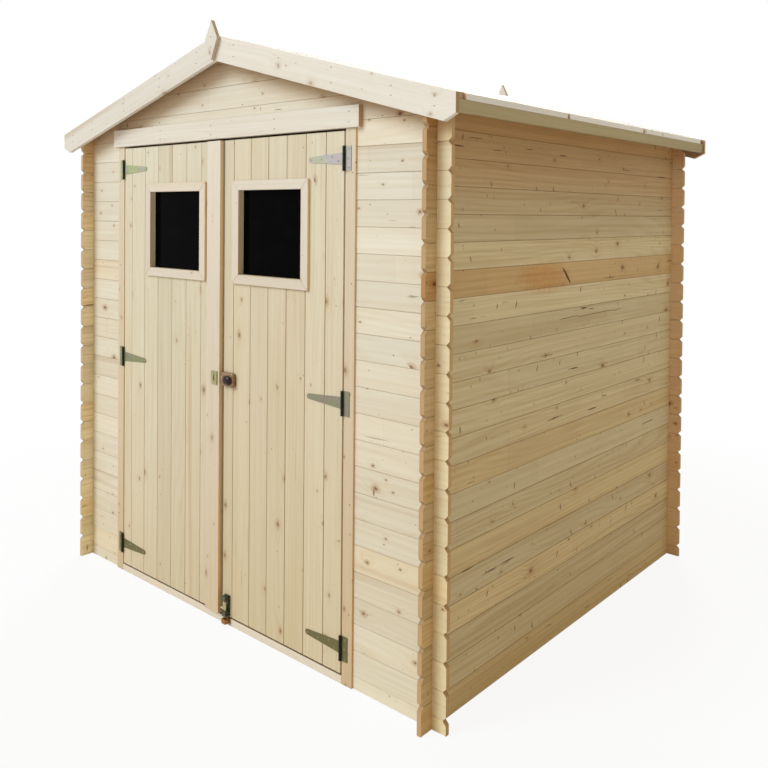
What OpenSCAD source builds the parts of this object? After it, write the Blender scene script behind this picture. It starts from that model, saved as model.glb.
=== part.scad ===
// Wooden garden shed with crossed board corners, a shallow gable roof and a pair
// of boarded doors. Millimetres, +Z up, the doors face -Y. The origin is on the
// ground, in the middle of the plan.

/* [Walls] */
// Width of the box of walls, outer face to outer face
wall_w = 1960; // [1500:10:3000]
// Depth of the box of walls, outer face to outer face
wall_d = 1776; // [1300:10:3000]
// How far every wall board runs on past the wall that it crosses
log_end = 52; // [30:1:90]
// Thickness of the wall boards
board_t = 16; // [12:1:28]
// Height that one wall board covers
course = 86; // [60:0.5:140]
// Corners cut off each board end, measured along the end
end_chamfer = 12; // [4:1:20]
// Play in the notches where two walls cross
lap_play = 0.2; // [0.1:0.1:1]

/* [Doorway] */
// Clear width between the jambs
door_w = 1310; // [900:10:1400]
// Middle of the doorway, measured from the middle of the front wall
door_offset = -45; // [-60:5:60]
// Underside of the lintel board above the ground
head_h = 1825; // [1500:5:1840]
// Width of a jamb across the front
jamb_w = 45; // [35:1:60]
// Depth of a jamb and of the sill
jamb_d = 30; // [26:1:45]
// How far jambs, sill and door leaves stand proud of the front wall
jamb_proud = 7; // [4:1:9]
// Depth of the groove in a jamb that holds the wall boards
jamb_groove = 12; // [6:1:18]
// Height of the sill
sill_h = 28; // [20:1:40]
// Height of the lintel board
lintel_h = 72; // [50:1:90]
// Thickness of the lintel board
lintel_t = 18; // [12:1:25]
// How far the lintel board runs past each jamb
lintel_end = 22; // [10:1:40]

/* [Doors] */
// Thickness of a door leaf
leaf_t = 16; // [14:1:30]
// Gap between a leaf and its jamb
side_gap = 5; // [4:0.5:8]
// Gap between the two leaves
meeting_gap = 6; // [5.5:0.5:10]
// Gap under a leaf
foot_gap = 6; // [5.5:0.5:12]
// Gap over a leaf
top_gap = 8; // [6:0.5:14]
// Meeting line of the leaves, measured from the middle of the doorway
meeting_offset = 26; // [0:1:60]
// Width of the cover strip on the left leaf
strip_w = 80; // [50:1:110]
// Thickness of the cover strip
strip_t = 16; // [10:1:24]
// Width of the ledges inside the leaves
ledge_w = 90; // [60:1:120]
// Thickness of the ledges
ledge_t = 16; // [12:1:30]
// How far the ledges stop short of the edges of a leaf
ledge_inset = 22; // [15:1:60]

/* [Windows] */
// Outer width of a window's mitred frame
frame_w = 402; // [250:1:450]
// Outer height of a window's mitred frame
frame_h = 380; // [250:1:450]
// Width of the frame's mouldings
frame_bar = 35; // [20:1:50]
// Thickness of the frame's mouldings
frame_t = 10; // [6:1:16]
// Middle of the windows above the ground
window_z = 1475; // [1300:5:1500]
// Middle of the left window, measured from the meeting line
left_window_x = -306; // [-330:1:-305]
// Middle of the right window, measured from the meeting line
right_window_x = 262; // [240:1:300]
// Thickness of the panes
pane_t = 4; // [3:0.5:6]
// How far a pane overlaps the hole in its leaf
pane_lap = 15; // [8:1:30]

/* [Roof] */
// Slope of the roof in degrees
roof_pitch = 15.5; // [12:0.5:20]
// Top of the roof boards at the ridge
ridge_h = 2198; // [2150:1:2500]
// Thickness of the roof boards
roof_t = 18; // [14:1:24]
// How far the roof reaches past the side walls
eave_overhang = 114; // [80:1:180]
// Gap between two roof panels
panel_gap = 3; // [2:0.5:8]
// Number of roof panels on each slope
panels = 3; // [3]
// Thickness of the laths on the ends of the roof boards
lath_t = 10; // [6:1:16]
// Gap between two laths
lath_gap = 14; // [6:1:30]
// How far the row of laths stops short of the bargeboards
lath_inset = 36; // [10:1:60]
// Height of the eave fascias
fascia_h = 38; // [25:1:60]
// Thickness of the eave fascias
fascia_t = 16; // [12:1:22]
// How far the laths stand proud of the fascias
lath_proud = 3; // [1:1:6]
// Width of a bargeboard, square to its length
barge_w = 90; // [70:1:120]
// Thickness of a bargeboard
barge_t = 18; // [12:1:24]
// How far the bargeboards' ends stand past the laths
barge_proud = 3; // [1:1:10]
// Length of the slanting cut at a bargeboard's foot, measured level
barge_cut = 44; // [20:1:60]
// Width of a finial
finial_w = 70; // [40:1:100]
// Length of a finial's upper point
finial_up = 68; // [40:1:100]
// Length of a finial's lower point
finial_down = 79; // [60:1:100]
// Thickness of a finial
finial_t = 16; // [10:1:22]
// Top of a finial's point above the ridge
finial_rise = 53; // [20:1:60]
// Width of the ridge beam
ridge_beam_w = 45; // [35:1:70]
// Height of the ridge beam, from the underside of the roof boards
ridge_beam_h = 70; // [50:1:120]

/* [Hinges] */
// Heights of the three hinges of a leaf
hinge_z = [121, 927, 1727];
// Length of a strap from its pin to its tip
strap_l = 168; // [120:1:240]
// Height of a strap at its pin
strap_root = 40; // [30:1:50]
// Height of a strap at its round tip
strap_tip = 18; // [12:1:24]
// Thickness of the hinge plates
plate_t = 2.5; // [2:0.5:4]
// Height of a jamb plate
hinge_plate_h = 82; // [70:1:100]
// Width of a jamb plate, measured from the pin
hinge_plate_w = 29; // [24:1:36]
// Radius of a knuckle
knuckle_r = 5; // [4:0.5:8]
// Radius of a hinge pin
pin_r = 2.5; // [2:0.5:3.5]
// Running clearance between a pin and its knuckle, on the radius
pin_play = 0.08; // [0.02:0.01:0.1]
// Gap between two knuckles
knuckle_gap = 0.8; // [0.5:0.1:2]
// Distance from the knuckles to the wood behind them
knuckle_off = 0.3; // [0.2:0.1:1]

/* [Lock] */
// Height of the middle of the lock
lock_z = 925; // [800:5:1100]
// Width of the lock case
lock_w = 74; // [60:1:90]
// Height of the lock case
lock_h = 52; // [40:1:70]
// Thickness of the lock case
lock_t = 17; // [10:1:24]
// Corner radius of the lock case
lock_r = 9; // [4:1:14]
// Long axis of the oval turning knob
knob_l = 46; // [34:1:50]
// Short axis of the oval turning knob
knob_s = 34; // [20:1:40]
// Thickness of the turning knob
knob_t = 12; // [8:1:18]
// How far the spindle is to the right of the middle of the lock case
knob_shift = 9; // [0:0.5:10]
// Radius of the knob's spindle
spindle_r = 5; // [4:0.5:8]
// Running clearance around the spindle
spindle_play = 0.08; // [0.02:0.01:0.1]
// Gap between the knob and the lock case
knob_gap = 1.5; // [1:0.1:3]
// Width of the keeper on the cover strip
keeper_w = 34; // [24:1:50]
// Height of the keeper
keeper_h = 50; // [36:1:60]
// Thickness of the keeper
keeper_t = 5; // [3:1:8]

/* [Foot bolt] */
// Middle of the bolt, measured from the meeting line
bolt_x = 36; // [30:1:80]
// Bottom of the bolt's back plate above the ground
bolt_z = 38; // [38:1:80]
// Height of the bolt's back plate
bolt_plate_h = 76; // [60:1:120]
// Width of the bolt's back plate
bolt_plate_w = 32; // [30:1:50]
// Radius of the sliding rod
rod_r = 5; // [4:0.5:6]
// Running clearance around the rod, on the radius
rod_play = 0.08; // [0.02:0.01:0.1]
// Wall of the guides around the rod
guide_wall = 4; // [3:0.5:6]
// Height of one guide
guide_h = 20; // [12:1:24]
// How far the rod stands below its back plate
rod_drop = 4; // [2:1:4]
// How far the rod slides up
rod_travel = 20; // [10:1:24]
// Radius of the rod's side knob
rod_knob_r = 4; // [3:0.5:5]
// How far the side knob stands out from the rod's middle
rod_knob_l = 24; // [18:1:30]
// Width of the keeper on the sill
sill_keeper_w = 36; // [32:1:60]
// Height of the keeper on the sill
sill_keeper_h = 18; // [12:1:24]
// How far the keeper's loop stands out from the sill
sill_keeper_out = 21; // [20:1:26]
// Thickness of the keeper's metal
sill_keeper_t = 2.5; // [2:0.5:4]

/* [Hidden] */
$fn = 48;

// Plan
half_w = wall_w / 2;
half_d = wall_d / 2;
end_x = half_w + log_end;
end_y = half_d + log_end;

// Heights of the joints between boards: the front and back walls start with half a board
front_joints = [for (k = [0 : 40]) (k + 0.5) * course];

// Roof
slope = tan(roof_pitch);
roof_v = roof_t / cos(roof_pitch);
barge_v = barge_w / cos(roof_pitch);
roof_half = half_w + eave_overhang;
panel_half = roof_half - lath_t;
fascia_x = roof_half - lath_proud;
barge_half = roof_half + barge_proud;
function roof_top(x) = ridge_h - x * slope;
function roof_under(x) = roof_top(x) - roof_v;
seat_play = 0.3;
side_top = roof_under(half_w) - seat_play;
laps = floor((side_top / course) - 0.75);
side_joints = [for (k = [1 : laps]) k * course];

// The joint between boards at which the front and back walls end and the gables start
gable_z = (floor(head_h / course - 0.5) + 1.5) * course;

// Doorway
open_l = door_offset - door_w / 2;
open_r = door_offset + door_w / 2;
jamb_l = open_l - jamb_w;
jamb_r = open_r + jamb_w;
face_y = -half_d - jamb_proud;
meet_x = door_offset + meeting_offset;
leaf_l0 = open_l + side_gap;
leaf_l1 = meet_x - meeting_gap / 2;
leaf_r0 = meet_x + meeting_gap / 2;
leaf_r1 = open_r - side_gap;
leaf_z0 = sill_h + foot_gap;
leaf_z1 = head_h - top_gap;

// Windows
left_win_x = meet_x + left_window_x;
right_win_x = meet_x + right_window_x;
hole_w = frame_w - 2 * frame_bar;
hole_h = frame_h - 2 * frame_bar;

// Hinges
pin_y = face_y - knuckle_off - knuckle_r;
left_pin_x = open_l + side_gap / 2;
right_pin_x = open_r - side_gap / 2;
middle_knuckle = strap_root;
outer_knuckle = (hinge_plate_h - middle_knuckle) / 2 - knuckle_gap;

// Lock
lock_mid = leaf_r0 + lock_w / 2;
lock_x = lock_mid + knob_shift;
lock_y = face_y - lock_t;
spindle_hole = 14;

// Foot bolt
bolt_mid = meet_x + bolt_x;
rod_y = face_y - plate_t - guide_wall - rod_r - rod_play;
guide_d = 2 * (rod_r + rod_play + guide_wall);
rod_bottom = bolt_z - rod_drop;
rod_l = bolt_plate_h + rod_drop - rod_travel;

// ---- helpers ----

// A flat piece drawn in X and Z, standing from y0 back to y0 + t
module front_plate(y0, t) {
    translate([0, y0 + t, 0])
        rotate([90, 0, 0])
            linear_extrude(t)
                children();
}

// A flat piece drawn in Y and Z, standing from x0 to x0 + t
module side_plate(x0, t) {
    translate([x0, 0, 0])
        rotate([90, 0, 90])
            linear_extrude(t)
                children();
}

// The edge of a board wall, with the corners of every board end cut off
function board_ends(u, inward, joints, z0, z1) = [
    for (z = joints)
        if (z - end_chamfer > z0 && z + end_chamfer < z1)
            each [
                [u, z - end_chamfer],
                [u + inward * end_chamfer, z],
                [u, z + end_chamfer]
            ]
];

function reversed(list) = [for (i = [len(list) - 1 : -1 : 0]) list[i]];

// Elevation of a board wall between u0 and u1. An end that is a log end is notched
module board_elevation(u0, u1, z0, z1, joints, log0 = true, log1 = true) {
    right = log1 ? board_ends(u1, -1, joints, z0, z1) : [];
    left = log0 ? reversed(board_ends(u0, 1, joints, z0, z1)) : [];
    polygon(concat([[u0, z0], [u1, z0]], right, [[u1, z1], [u0, z1]], left));
}

// Places in a front or back wall that the side walls' boards pass through
module front_laps(side) {
    u = side > 0 ? half_w - board_t - lap_play : -half_w - lap_play;
    for (k = [0 : laps])
        translate([u, (k + 0.25) * course - lap_play])
            square([board_t + 2 * lap_play, course / 2 + 2 * lap_play]);
}

// Places in a side wall that the front and back walls' boards pass through
module side_laps(side) {
    u = side > 0 ? half_d - board_t - lap_play : -half_d - lap_play;
    for (k = [0 : laps])
        translate([u, (k - 0.25) * course - lap_play])
            square([board_t + 2 * lap_play, course / 2 + 2 * lap_play]);
    translate([u, (laps + 0.75) * course - lap_play])
        square([board_t + 2 * lap_play, ridge_h]);
}

// Everything under the roof boards, in X and Z
module under_roof() {
    polygon([
        [-barge_half, 0], [barge_half, 0],
        [barge_half, roof_under(barge_half) - seat_play],
        [0, roof_under(0) - seat_play],
        [-barge_half, roof_under(barge_half) - seat_play]
    ]);
}

// ---- walls ----

module front_wall_left() {
    color("burlywood")
        front_plate(-half_d, board_t)
            intersection() {
                difference() {
                    board_elevation(-end_x, jamb_l + jamb_groove - seat_play, 0, gable_z,
                        front_joints, true, false);
                    front_laps(-1);
                }
                under_roof();
            }
}

module front_wall_right() {
    color("burlywood")
        front_plate(-half_d, board_t)
            intersection() {
                difference() {
                    board_elevation(jamb_r - jamb_groove + seat_play, end_x, 0, gable_z,
                        front_joints, false, true);
                    front_laps(1);
                }
                under_roof();
            }
}

module gable_elevation() {
    intersection() {
        difference() {
            board_elevation(-end_x, end_x, gable_z, ridge_h, front_joints);
            front_laps(-1);
            front_laps(1);
        }
        under_roof();
    }
}

// The lowest board of the front gable reaches down to the heads of the jambs
module front_gable() {
    color("burlywood")
        front_plate(-half_d, board_t)
            union() {
                gable_elevation();
                translate([jamb_l + jamb_groove, head_h])
                    square([door_w + 2 * (jamb_w - jamb_groove), gable_z - head_h + 1]);
            }
}

module back_wall() {
    color("burlywood")
        front_plate(half_d - board_t, board_t)
            intersection() {
                difference() {
                    board_elevation(-end_x, end_x, 0, gable_z, front_joints);
                    front_laps(-1);
                    front_laps(1);
                }
                under_roof();
            }
}

module back_gable() {
    color("burlywood")
        front_plate(half_d - board_t, board_t)
            gable_elevation();
}

module side_wall(x0) {
    side_plate(x0, board_t)
        difference() {
            board_elevation(-end_y, end_y, 0, side_top, side_joints);
            side_laps(-1);
            side_laps(1);
        }
}

module left_wall() {
    color("tan") side_wall(-half_w);
}

module right_wall() {
    color("tan") side_wall(half_w - board_t);
}

// ---- doorway ----

module jamb(x0, groove_x) {
    difference() {
        translate([x0, face_y, 0])
            cube([jamb_w, jamb_d, head_h - seat_play]);
        translate([groove_x, -half_d - lap_play, -1])
            cube([jamb_groove + 1, board_t + 2 * lap_play, head_h + 2]);
    }
}

module left_jamb() {
    color("wheat") jamb(jamb_l, jamb_l - 1);
}

module right_jamb() {
    color("wheat") jamb(open_r, jamb_r - jamb_groove);
}

module door_sill() {
    color("wheat")
        translate([open_l, face_y, 0])
            cube([door_w, jamb_d, sill_h]);
}

module lintel_board() {
    color("wheat")
        translate([jamb_l - lintel_end, -half_d - lintel_t, head_h])
            cube([door_w + 2 * (jamb_w + lintel_end), lintel_t, lintel_h]);
}

// ---- roof ----

module roof_panel(side, index) {
    run = (2 * end_y - (panels - 1) * panel_gap) / panels;
    y0 = -end_y + index * (run + panel_gap);
    ridge_gap = panel_gap / 2;
    color("linen")
        front_plate(y0, run)
            polygon([
                [side * ridge_gap, roof_top(ridge_gap)],
                [side * panel_half, roof_top(panel_half)],
                [side * panel_half, roof_under(panel_half)],
                [side * ridge_gap, roof_under(ridge_gap)]
            ]);
}

module fascia(side) {
    inner = fascia_x - fascia_t;
    foot = roof_under(fascia_x) - fascia_h;
    color("tan")
        front_plate(-end_y, 2 * end_y)
            polygon([
                [side * inner, foot],
                [side * fascia_x, foot],
                [side * fascia_x, roof_under(fascia_x) - seat_play],
                [side * inner, roof_under(inner) - seat_play]
            ]);
}

module eave_laths(side) {
    row = 2 * (end_y - lath_inset);
    run = (row - (panels - 1) * lath_gap) / panels;
    color("linen")
        for (i = [0 : panels - 1])
            front_plate(-row / 2 + i * (run + lath_gap), run)
                polygon([
                    [side * panel_half, roof_top(panel_half)],
                    [side * roof_half, roof_top(roof_half)],
                    [side * roof_half, roof_under(roof_half)],
                    [side * panel_half, roof_under(panel_half)]
                ]);
}

module bargeboard(side, y0) {
    toe = barge_half - barge_cut;
    shoulder = roof_top(barge_half) - 0.64 * barge_v;
    color("ivory")
        front_plate(y0, barge_t)
            polygon([
                [side * seat_play, roof_top(0)],
                [side * barge_half, roof_top(barge_half)],
                [side * barge_half, shoulder],
                [side * toe, roof_top(toe) - barge_v],
                [side * seat_play, roof_top(0) - barge_v]
            ]);
}

module finial(y0) {
    top = ridge_h + finial_rise;
    color("ivory")
        front_plate(y0, finial_t)
            polygon([
                [0, top],
                [finial_w / 2, top - finial_up],
                [0, top - finial_up - finial_down],
                [-finial_w / 2, top - finial_up]
            ]);
}

module ridge_beam() {
    w = ridge_beam_w / 2;
    top = -seat_play;
    color("burlywood")
        front_plate(-half_d + board_t, wall_d - 2 * board_t)
            polygon([
                [-w, roof_under(0) - ridge_beam_h],
                [w, roof_under(0) - ridge_beam_h],
                [w, roof_under(w) + top],
                [0, roof_under(0) + top],
                [-w, roof_under(w) + top]
            ]);
}

// ---- doors ----

module leaf(x0, x1, win_x) {
    color("wheat")
        difference() {
            translate([x0, face_y, leaf_z0])
                cube([x1 - x0, leaf_t, leaf_z1 - leaf_z0]);
            translate([win_x - hole_w / 2, face_y - 1, window_z - hole_h / 2])
                cube([hole_w, leaf_t + 2, hole_h]);
        }
}

module ledges(x0, x1) {
    color("burlywood")
        for (z = hinge_z)
            translate([x0 + ledge_inset, face_y + leaf_t, z - ledge_w / 2])
                cube([x1 - x0 - 2 * ledge_inset, ledge_t, ledge_w]);
}

module meeting_strip() {
    color("wheat")
        translate([leaf_l1 - strip_w, face_y - strip_t, leaf_z0])
            cube([strip_w, strip_t, leaf_z1 - leaf_z0]);
}

module window_frame(win_x) {
    color("ivory")
        difference() {
            translate([win_x - frame_w / 2, face_y - frame_t, window_z - frame_h / 2])
                cube([frame_w, frame_t, frame_h]);
            translate([win_x - hole_w / 2, face_y - frame_t - 1, window_z - hole_h / 2])
                cube([hole_w, frame_t + 2, hole_h]);
        }
}

module window_pane(win_x) {
    color([0.05, 0.05, 0.06])
        translate([
            win_x - hole_w / 2 - pane_lap,
            face_y + leaf_t,
            window_z - hole_h / 2 - pane_lap
        ])
            cube([hole_w + 2 * pane_lap, pane_t, hole_h + 2 * pane_lap]);
}

// ---- hinges ----

// The fixed half: a plate on the jamb, two outer knuckles and the pin
module hinge_plate(pin_x, side) {
    reach = knuckle_r + 1;
    for (z = hinge_z) {
        difference() {
            translate([side > 0 ? pin_x : pin_x - hinge_plate_w, face_y - plate_t,
                z - hinge_plate_h / 2])
                cube([hinge_plate_w, plate_t, hinge_plate_h]);
            translate([pin_x - reach, face_y - plate_t - 1,
                z - middle_knuckle / 2 - knuckle_gap])
                cube([2 * reach, plate_t + 2, middle_knuckle + 2 * knuckle_gap]);
        }
        for (up = [-1, 1])
            translate([pin_x, pin_y,
                z + up * (middle_knuckle + outer_knuckle + 2 * knuckle_gap) / 2
                    - outer_knuckle / 2])
                cylinder(r = knuckle_r, h = outer_knuckle);
        translate([pin_x, pin_y, z - hinge_plate_h / 2 + 1])
            cylinder(r = pin_r, h = hinge_plate_h - 2);
    }
}

// The moving half: a tapered strap with a round tip and one middle knuckle
module hinge_strap(pin_x, side) {
    tip_x = pin_x - side * (strap_l - strap_tip / 2);
    for (z = hinge_z)
        difference() {
            union() {
                translate([pin_x, pin_y, z - middle_knuckle / 2])
                    cylinder(r = knuckle_r, h = middle_knuckle);
                front_plate(face_y - plate_t, plate_t)
                    polygon([
                        [pin_x, z - strap_root / 2],
                        [tip_x, z - strap_tip / 2],
                        [tip_x, z + strap_tip / 2],
                        [pin_x, z + strap_root / 2]
                    ]);
                front_plate(face_y - plate_t, plate_t)
                    translate([tip_x, z])
                        circle(r = strap_tip / 2);
            }
            translate([pin_x, pin_y, z - middle_knuckle / 2 - 1])
                cylinder(r = pin_r + pin_play, h = middle_knuckle + 2);
        }
}

// ---- lock ----

module lock_case() {
    x0 = lock_mid - lock_w / 2;
    color("saddlebrown")
        difference() {
            front_plate(lock_y, lock_t)
                union() {
                    translate([x0, lock_z - lock_h / 2])
                        square([lock_w - lock_r, lock_h]);
                    translate([x0, lock_z - lock_h / 2 + lock_r])
                        square([lock_w, lock_h - 2 * lock_r]);
                    for (up = [-1, 1])
                        translate([x0 + lock_w - lock_r,
                            lock_z + up * (lock_h / 2 - lock_r)])
                            circle(r = lock_r);
                }
            translate([lock_x, lock_y + spindle_hole, lock_z])
                rotate([90, 0, 0])
                    cylinder(r = spindle_r + spindle_play, h = spindle_hole + 1);
        }
}

module turn_knob() {
    color([0.08, 0.05, 0.04])
        translate([lock_x, lock_y, lock_z])
            union() {
                translate([0, spindle_hole - 1, 0])
                    rotate([90, 0, 0])
                        cylinder(r = spindle_r, h = spindle_hole - 1 + knob_gap + 1);
                translate([0, -knob_gap, 0])
                    rotate([90, 0, 0])
                        linear_extrude(knob_t)
                            union() {
                                for (side = [-1, 1])
                                    translate([side * (knob_l - knob_s) / 2, 0])
                                        circle(r = knob_s / 2);
                                translate([-(knob_l - knob_s) / 2, -knob_s / 2])
                                    square([knob_l - knob_s, knob_s]);
                            }
            }
}

module lock_keeper() {
    slot_w = 7;
    slot_h = keeper_h / 2;
    x0 = leaf_l1 - 10 - keeper_w;
    color([0.62, 0.6, 0.4])
        front_plate(face_y - strip_t - keeper_t, keeper_t)
            difference() {
                translate([x0, lock_z - keeper_h / 2])
                    square([keeper_w, keeper_h]);
                translate([x0 + (keeper_w - slot_w) / 2, lock_z - slot_h / 2])
                    square([slot_w, slot_h]);
            }
}

// ---- foot bolt ----

module foot_bolt_plate() {
    half = guide_d / 2;
    color([0.35, 0.34, 0.28])
        difference() {
            union() {
                translate([bolt_mid - bolt_plate_w / 2, face_y - plate_t, bolt_z])
                    cube([bolt_plate_w, plate_t, bolt_plate_h]);
                for (z = [bolt_z, bolt_z + bolt_plate_h - guide_h])
                    translate([bolt_mid - half, rod_y - half, z])
                        cube([guide_d, face_y - plate_t - rod_y + half + 1, guide_h]);
            }
            translate([bolt_mid, rod_y, bolt_z - 1])
                cylinder(r = rod_r + rod_play, h = bolt_plate_h + 2);
        }
}

module foot_bolt() {
    color([0.5, 0.48, 0.4])
        union() {
            translate([bolt_mid, rod_y, rod_bottom])
                cylinder(r = rod_r, h = rod_l);
            translate([bolt_mid, rod_y, bolt_z + guide_h + rod_knob_r + 1])
                rotate([0, -90, 0])
                    cylinder(r = rod_knob_r, h = rod_knob_l);
        }
}

module bolt_keeper() {
    half = guide_d / 2 + 2;
    z0 = sill_h - sill_keeper_h;
    color("peru")
        difference() {
            union() {
                translate([bolt_mid - sill_keeper_w / 2, face_y - sill_keeper_t, z0])
                    cube([sill_keeper_w, sill_keeper_t, sill_keeper_h]);
                translate([bolt_mid - half, face_y - sill_keeper_out, z0])
                    cube([2 * half, sill_keeper_out, sill_keeper_h]);
            }
            translate([bolt_mid - half + sill_keeper_t,
                face_y - sill_keeper_out + sill_keeper_t, z0 - 1])
                cube([2 * (half - sill_keeper_t), sill_keeper_out - 2 * sill_keeper_t,
                    sill_keeper_h + 2]);
        }
}

// ---- the assembly ----

front_wall_left();
front_wall_right();
front_gable();
back_wall();
back_gable();
left_wall();
right_wall();
door_sill();
left_jamb();
right_jamb();
lintel_board();
ridge_beam();
roof_panel(-1, 0);  // left_roof_front
roof_panel(-1, 1);  // left_roof_middle
roof_panel(-1, 2);  // left_roof_back
roof_panel(1, 0);  // right_roof_front
roof_panel(1, 1);  // right_roof_middle
roof_panel(1, 2);  // right_roof_back
fascia(-1);  // left_fascia
fascia(1);  // right_fascia
eave_laths(-1);  // left_eave_laths
eave_laths(1);  // right_eave_laths
bargeboard(-1, -end_y - barge_t);  // front_left_bargeboard
bargeboard(1, -end_y - barge_t);  // front_right_bargeboard
bargeboard(-1, end_y);  // back_left_bargeboard
bargeboard(1, end_y);  // back_right_bargeboard
finial(-end_y - barge_t - finial_t);  // front_finial
finial(end_y + barge_t);  // back_finial
color("darkkhaki") hinge_plate(left_pin_x, -1);  // left_hinge_plates
color("darkkhaki") hinge_plate(right_pin_x, 1);  // right_hinge_plates
bolt_keeper();
leaf(leaf_l0, leaf_l1, left_win_x);  // left_door
leaf(leaf_r0, leaf_r1, right_win_x);  // right_door
ledges(leaf_l0, leaf_l1);  // left_door_ledges
ledges(leaf_r0, leaf_r1);  // right_door_ledges
meeting_strip();
window_frame(left_win_x);  // left_window_frame
window_frame(right_win_x);  // right_window_frame
window_pane(left_win_x);  // left_window_pane
window_pane(right_win_x);  // right_window_pane
color("darkkhaki") hinge_strap(left_pin_x, -1);  // left_hinge_straps
color("darkkhaki") hinge_strap(right_pin_x, 1);  // right_hinge_straps
lock_case();
lock_keeper();
turn_knob();
foot_bolt_plate();
foot_bolt();
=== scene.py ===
import math
import random
from functools import partialmethod

import bmesh
import bpy
from mathutils import Matrix, Vector

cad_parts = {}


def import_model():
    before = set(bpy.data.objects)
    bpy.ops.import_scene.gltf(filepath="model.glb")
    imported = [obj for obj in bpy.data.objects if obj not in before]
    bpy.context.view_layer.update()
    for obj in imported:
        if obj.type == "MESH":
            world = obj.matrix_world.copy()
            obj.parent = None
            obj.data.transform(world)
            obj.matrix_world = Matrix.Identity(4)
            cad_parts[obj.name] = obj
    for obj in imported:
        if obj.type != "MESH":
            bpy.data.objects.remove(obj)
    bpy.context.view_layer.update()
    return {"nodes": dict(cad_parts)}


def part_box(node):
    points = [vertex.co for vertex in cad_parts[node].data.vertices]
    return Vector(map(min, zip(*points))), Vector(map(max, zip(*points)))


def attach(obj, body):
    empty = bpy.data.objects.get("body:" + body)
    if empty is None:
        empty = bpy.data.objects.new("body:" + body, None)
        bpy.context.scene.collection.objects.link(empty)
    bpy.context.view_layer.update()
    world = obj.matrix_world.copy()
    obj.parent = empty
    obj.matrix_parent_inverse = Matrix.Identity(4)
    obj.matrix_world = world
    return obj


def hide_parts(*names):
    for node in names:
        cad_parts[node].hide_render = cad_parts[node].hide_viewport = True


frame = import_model()

# ---- sizes that the CAD doesn't carry, in metres ----

COURSE = 0.086            # height that one wall board covers
QUARTER = COURSE / 4      # depth of the notches where walls cross
END_CUT = 0.012           # corner cut off each board end
LAP_PLAY = 0.0002         # play in the notches where walls cross
JOINT_CHAMFER = 0.0014    # chamfer along the edges of wall boards
DOOR_CHAMFER = 0.0018     # chamfer along the edges of door boards
DOOR_BOARD = 0.096        # width that one door board covers
DOOR_FIRST = 0.057        # width of the first board of each leaf
ROOF_BOARDS = 6           # boards in one roof panel
ARRIS = 0.0016            # rounding of loose boards and mouldings
THIN_ARRIS = 0.001        # rounding of laths and fascias
FINIAL_ARRIS = 0.0012
LEDGE_ARRIS = 0.003
HAIRLINE = 0.0004         # gap between neighbouring boards
SLIVER = 0.012            # a narrower rest of a board beside a window is left out
INTO_JAMB = 0.010         # how far the front wall's boards run in behind the jambs
WINDOW_BAR = 0.035        # width of the window mouldings
BEAD = 0.014              # width of the strips inside a window
BEAD_DEPTH = 0.011
PLATE = 0.0025            # thickness of the hinge plates and the foot bolt's back plate
KNOB_GAP = 0.0015         # between the lock case and the knob
SPINDLE_GAP = 0.0001      # between the lock case and the knob's spindle
ROOF_PITCH = math.radians(15.5)
SLOPE = math.tan(ROOF_PITCH)
ROOF_V = 0.018 / math.cos(ROOF_PITCH)   # thickness of the roof boards, measured plumb

# marks on the right side wall, as y and z
BROWN_ROW = 15.5 * COURSE               # middle height of a browner board
SLIT_KNOT = (-0.097, 15.42 * COURSE)    # its slanting dark knot
RED_PATCH = (-0.26, 15.45 * COURSE)     # the redder wood beside the knot
CRACK = (-0.17, 0.40, 13.58 * COURSE)   # a crack: from y, to y, and its height
CRACK_WANDER = 0.022                    # how far the crack strays up and down
CRACK_WIDTH = 0.0016

# the photograph's viewpoint, in metres and degrees
CAMERA_PLACE = (2.4856, -2.8535, 1.545)
CAMERA_YAW = 41.077
CAMERA_PITCH = -0.988
CAMERA_ROLL = 0.512
CAMERA_LENS = 38.99
CAMERA_SHIFT = -0.2018

# ---- places read from the frame ----

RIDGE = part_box("right_roof_middle")[1].z
fwall_lo, fwall_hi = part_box("front_wall_right")
back_lo, back_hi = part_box("back_wall")
right_lo, right_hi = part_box("right_wall")
left_lo, left_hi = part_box("left_wall")
jamb_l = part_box("left_jamb")
jamb_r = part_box("right_jamb")
hinge_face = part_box("left_door")[0].y - PLATE    # the front of the hinge plates
gable_z = fwall_hi.z

X, Y, Z = 0, 1, 2
SIDES = (("left", -1), ("right", 1))


# ---- shader values ----

class Value:
    """What a shader node puts out. Arithmetic with it adds Math nodes to its tree."""

    def __init__(self, socket):
        self.socket = socket
        self.tree = socket.id_data

    def op(self, operation, other=0.0):
        return value(self.tree, "ShaderNodeMath", {0: self, 1: other}, operation=operation)

    __add__ = partialmethod(op, "ADD")
    __sub__ = partialmethod(op, "SUBTRACT")
    __mul__ = partialmethod(op, "MULTIPLY")
    __truediv__ = partialmethod(op, "DIVIDE")
    __pow__ = partialmethod(op, "POWER")
    __abs__ = partialmethod(op, "ABSOLUTE")
    under = partialmethod(op, "LESS_THAN")
    most = partialmethod(op, "MAXIMUM")


def set_inputs(made, inputs):
    """Sets a node's inputs, and links those that are given as a Value."""
    for key, given in inputs.items():
        if isinstance(given, Value):
            given.tree.links.new(given.socket, made.inputs[key])
        else:
            made.inputs[key].default_value = given


def add_node(tree, kind, inputs=None, **settings):
    made = tree.nodes.new(kind)
    for key, setting in settings.items():
        setattr(made, key, setting)
    set_inputs(made, inputs or {})
    return made


def value(tree, kind, inputs=None, output=0, **settings):
    """One output of a new node."""
    return Value(add_node(tree, kind, inputs, **settings).outputs[output])


def split(given, kind="ShaderNodeSeparateXYZ"):
    """The three parts of a vector or colour."""
    return [Value(part) for part in add_node(given.tree, kind, {0: given}).outputs]


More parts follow.
